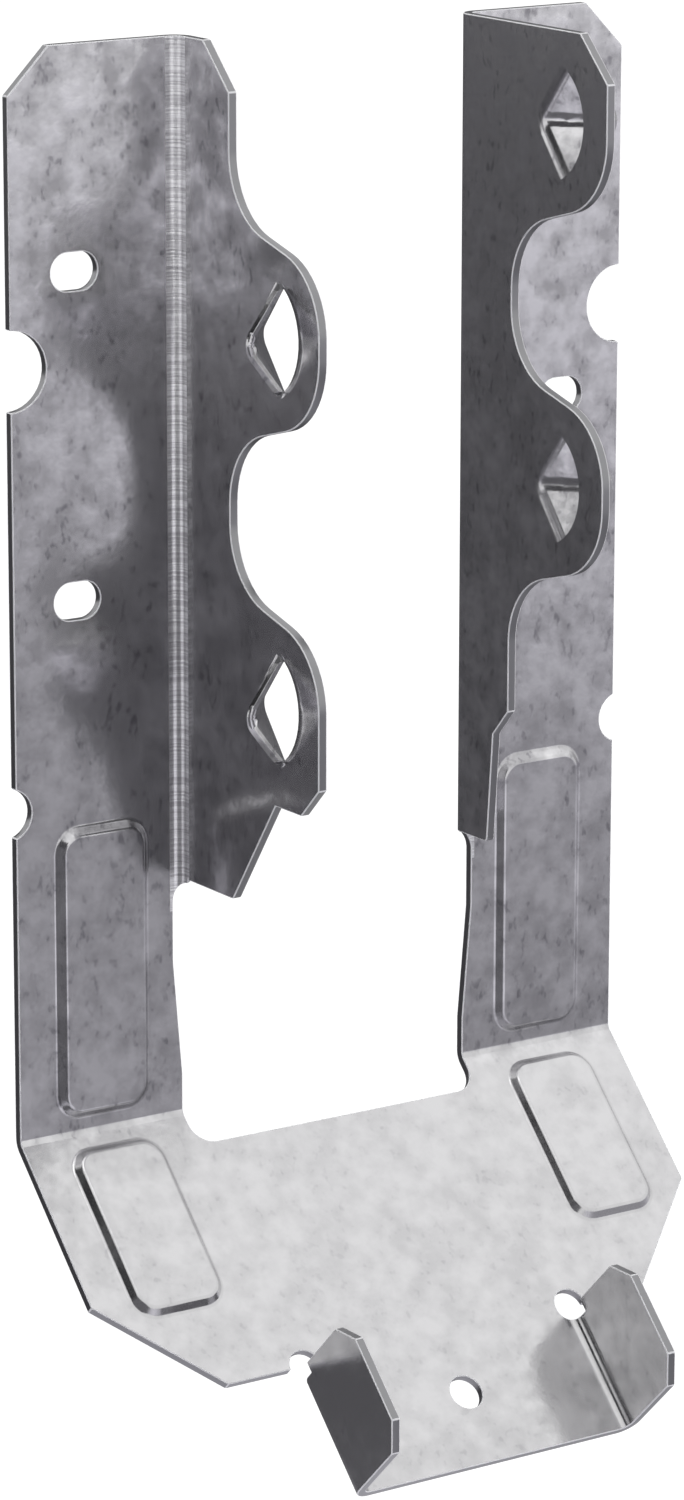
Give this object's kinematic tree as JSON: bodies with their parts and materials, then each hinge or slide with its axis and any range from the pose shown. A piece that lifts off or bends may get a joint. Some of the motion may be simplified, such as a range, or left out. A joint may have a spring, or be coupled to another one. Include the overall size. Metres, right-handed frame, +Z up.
{
  "type": "rafter hanger",
  "caption": "Folded sheet-steel hanger with a sloped seat that nails a rafter's end to the face of a header board.",
  "frame": {"origin": "on the face that lies against the header, in the middle of the rafter gap, level with the fold between the flanges and the seat", "axes": "+X to the right seen from the rafter's side, +Y into the header, +Z up along the flanges"},
  "size_m": [0.0888, 0.0472, 0.1723],
  "materials": {
    "galvanised_sheet": "galvanised sheet steel, clean and fairly glossy with faint mottling"
  },
  "bodies": {
    "root": {"rafter_hanger": "galvanised_sheet"}
  },
  "joints": []
}
